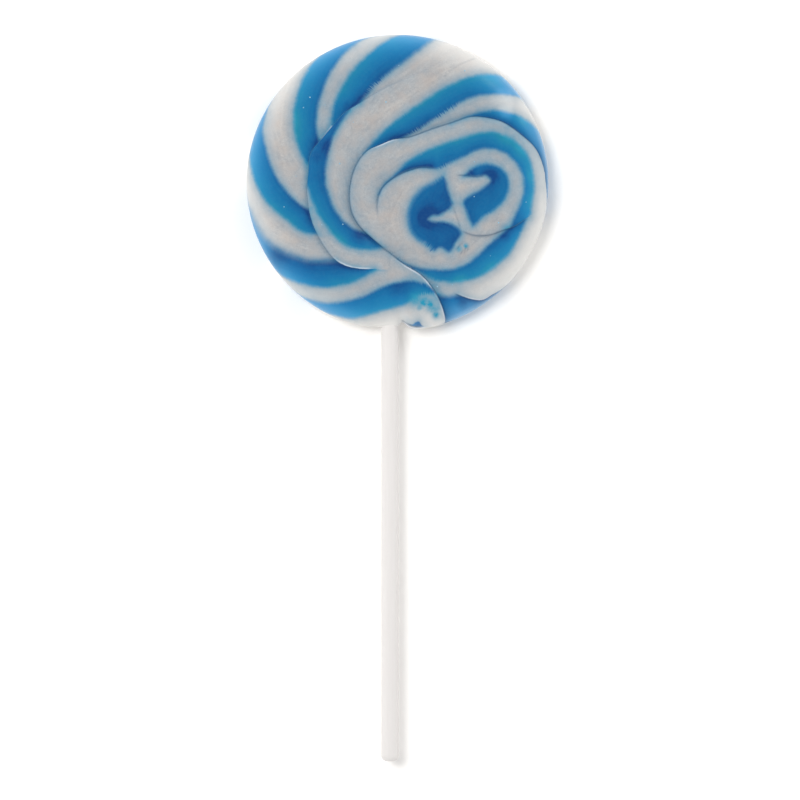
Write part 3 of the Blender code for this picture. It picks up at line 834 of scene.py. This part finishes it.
# Points along the axis stand closest at the two ends, which are rounded
axis = add(tree, "GeometryNodeCurvePrimitiveLine", {}, {"Start": (0, 0, 0), "End": (0, -1, 0)})
axis = add(tree, "GeometryNodeResampleCurve", {}, {"Curve": axis, "Count": 81})
share = add(tree, "GeometryNodeSplineParameter", {}, {}, "Factor")
eased = rod_maths("MULTIPLY", rod_maths("SUBTRACT", 1.0, rod_maths("COSINE", rod_maths("MULTIPLY", share, math.pi))), 0.5)
down = rod_maths("MULTIPLY", rod_maths("MULTIPLY", eased, given["Length"]), -1.0)
axis = add(
    tree, "GeometryNodeSetPosition", {},
    {"Geometry": axis, "Position": add(tree, "ShaderNodeCombineXYZ", {}, {1: down})},
)
y = add(tree, "ShaderNodeSeparateXYZ", {}, {0: add(tree, "GeometryNodeInputPosition", {}, {})}, "Y")
to_end = rod_maths("MINIMUM", rod_maths("MULTIPLY", y, -1.0), rod_maths("ADD", y, given["Length"]))
short = rod_maths("MAXIMUM", rod_maths("SUBTRACT", 1.0, rod_maths("DIVIDE", to_end, given["End Radius"])), 0.0)
arc = rod_maths("SQRT", rod_maths("SUBTRACT", 1.0, rod_maths("MULTIPLY", short, short)))
thick = rod_maths("MULTIPLY_ADD", rod_maths("SUBTRACT", arc, 1.0), given["End Radius"], given["Radius"])
section = add(tree, "GeometryNodeCurvePrimitiveCircle", {}, {"Resolution": 64, "Radius": 1.0})
rod = add(
    tree, "GeometryNodeCurveToMesh", {},
    {"Curve": axis, "Profile Curve": section, "Scale": thick, "Fill Caps": True},
)
across = add(tree, "GeometryNodeInputPosition", {}, {})
x = add(tree, "ShaderNodeSeparateXYZ", {}, {0: across})
height = x.node.outputs["Z"]
near_line = rod_maths("MAXIMUM", rod_maths("SUBTRACT", 1.0, rod_maths("DIVIDE", rod_maths("ABSOLUTE", height), 0.00025)), 0.0)
ridge = rod_maths("MULTIPLY", rod_maths("MULTIPLY", near_line, given["Parting Line"]), rod_maths("SIGN", x))
rod = add(
    tree, "GeometryNodeSetPosition", {},
    {"Geometry": rod, "Offset": add(tree, "ShaderNodeCombineXYZ", {}, {0: ridge})},
)
rod = add(tree, "GeometryNodeSetShadeSmooth", {}, {0: rod})
rod = add(tree, "GeometryNodeRealizeInstances", {}, {0: rod})
rod = add(tree, "GeometryNodeSetMaterial", {}, {"Geometry": rod, "Material": given["Material"]})
add(tree, "NodeGroupOutput", {}, {0: rod})

# Polypropylene: milky, waxy to the eye, with a satin sheen from the mould
plastic = bpy.data.materials.new("moulded_polypropylene_white")
plastic.use_nodes = True
tree = plastic.node_tree
tree.nodes.clear()
place = add(tree, "ShaderNodeTexCoord", {}, {}, "Object")
place_mm = add(tree, "ShaderNodeVectorMath", {"operation": "SCALE"}, {0: place, "Scale": 1 / MM})
drawn = add(tree, "ShaderNodeVectorMath", {"operation": "MULTIPLY"}, {0: place_mm, 1: (1.6, 0.08, 1.6)})
tint = maths("ADD", maths("MULTIPLY", cloud(1.0, 2.0, drawn), 0.8), 0.5)
colour = mix(tint, hex_colour("#dedad7"), hex_colour("#e6e3e1"))
bump = add(tree, "ShaderNodeBump", {}, {"Strength": 0.2, "Distance": 0.00005, "Height": cloud(3.0, 2.0, drawn)}, "Normal")
shader = add(
    tree, "ShaderNodeBsdfPrincipled", {},
    {"Base Color": colour, "Roughness": 0.42, "IOR": 1.49, "Normal": bump},
)
add(tree, "ShaderNodeOutputMaterial", {}, {"Surface": shader})


PARTING_LINE = 0.04
stick = made_by(
    bpy.data.node_groups["moulded rod"], sizes,
    {
        "Length": stick_high.y - stick_low.y, "Radius": (stick_high.z - stick_low.z) / 2,
        "End Radius": 1.3 * MM, "Parting Line": PARTING_LINE * MM, "Material": plastic,
    },
    "stick_rod",
)
axis_place = ((stick_low.x + stick_high.x) / 2, stick_high.y, (stick_low.z + stick_high.z) / 2)
stick.data.transform(Matrix.Translation(axis_place))
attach(stick, "root")
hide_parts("stick")

# ---------------------------------------------------------------------------------------------------
# The table, the light and the camera. A white table under a pale tent, with one large soft lamp high on
# the left, and the camera straight above.
# ---------------------------------------------------------------------------------------------------

bm = bmesh.new()
bmesh.ops.create_grid(bm, x_segments=1, y_segments=1, size=6)
table_mesh = bpy.data.meshes.new("table")
bm.to_mesh(table_mesh)
bm.free()
table = bpy.data.objects.new("table", table_mesh)
bpy.context.scene.collection.objects.link(table)
paper = bpy.data.materials.new("matt_white_paper")
paper.use_nodes = True
paper_shader = paper.node_tree.nodes["Principled BSDF"]
paper_shader.inputs["Base Color"].default_value = (1, 0.985, 0.965, 1)
paper_shader.inputs["Roughness"].default_value = 0.9
paper_shader.inputs["Emission Color"].default_value = (1, 1, 1, 1)
paper_shader.inputs["Emission Strength"].default_value = 0.04
table_mesh.materials.append(paper)

tent = bpy.data.worlds.new("pale_tent")
tent.use_nodes = True
backdrop = tent.node_tree.nodes["Background"]
facing = add(tent.node_tree, "ShaderNodeTexCoord", {}, {}, "Generated")
upwards = add(tent.node_tree, "ShaderNodeSeparateXYZ", {}, {0: facing}, "Z")
walls = add(tent.node_tree, "ShaderNodeValToRGB", {}, {0: upwards})
for stop, position, level in zip(walls.node.color_ramp.elements, (0.5, 0.9), (1.0, 0.2)):
    stop.position = position
    stop.color = (level, level, level, 1)
tent.node_tree.links.new(walls, backdrop.inputs["Color"])
backdrop.inputs["Strength"].default_value = 0.95
bpy.context.scene.world = tent

for name, place, size, power, reflected in (
    ("lamp_left", (-0.34, 0.13, 0.94), 0.45, 5.6, False), ("lamp_right", (0.55, 0.45, 0.7), 0.5, 1.5, True)
):
    lamp_data = bpy.data.lights.new(name, "AREA")
    lamp_data.shape = "DISK"
    lamp_data.size = size
    lamp_data.energy = power
    lamp = bpy.data.objects.new(name, lamp_data)
    lamp.location = place
    lamp.visible_glossy = reflected
    lamp.rotation_euler = (Vector((0, -0.02, 0)) - lamp.location).to_track_quat("-Z", "Y").to_euler()
    bpy.context.scene.collection.objects.link(lamp)

FRAME_WIDTH = 186.8 * MM
FRAME_CENTRE = (0.6 * MM, -50.9 * MM)
CAMERA_HEIGHT = 1.6
camera_data = bpy.data.cameras.new("camera")
camera_data.sensor_width = 36.0
camera_data.lens = 36.0 * (CAMERA_HEIGHT - 0.01) / FRAME_WIDTH
camera = bpy.data.objects.new("camera", camera_data)
camera.location = (*FRAME_CENTRE, CAMERA_HEIGHT)
bpy.context.scene.collection.objects.link(camera)
bpy.context.scene.camera = camera
bpy.context.scene.view_settings.view_transform = "Standard"

bpy.context.view_layer.update()
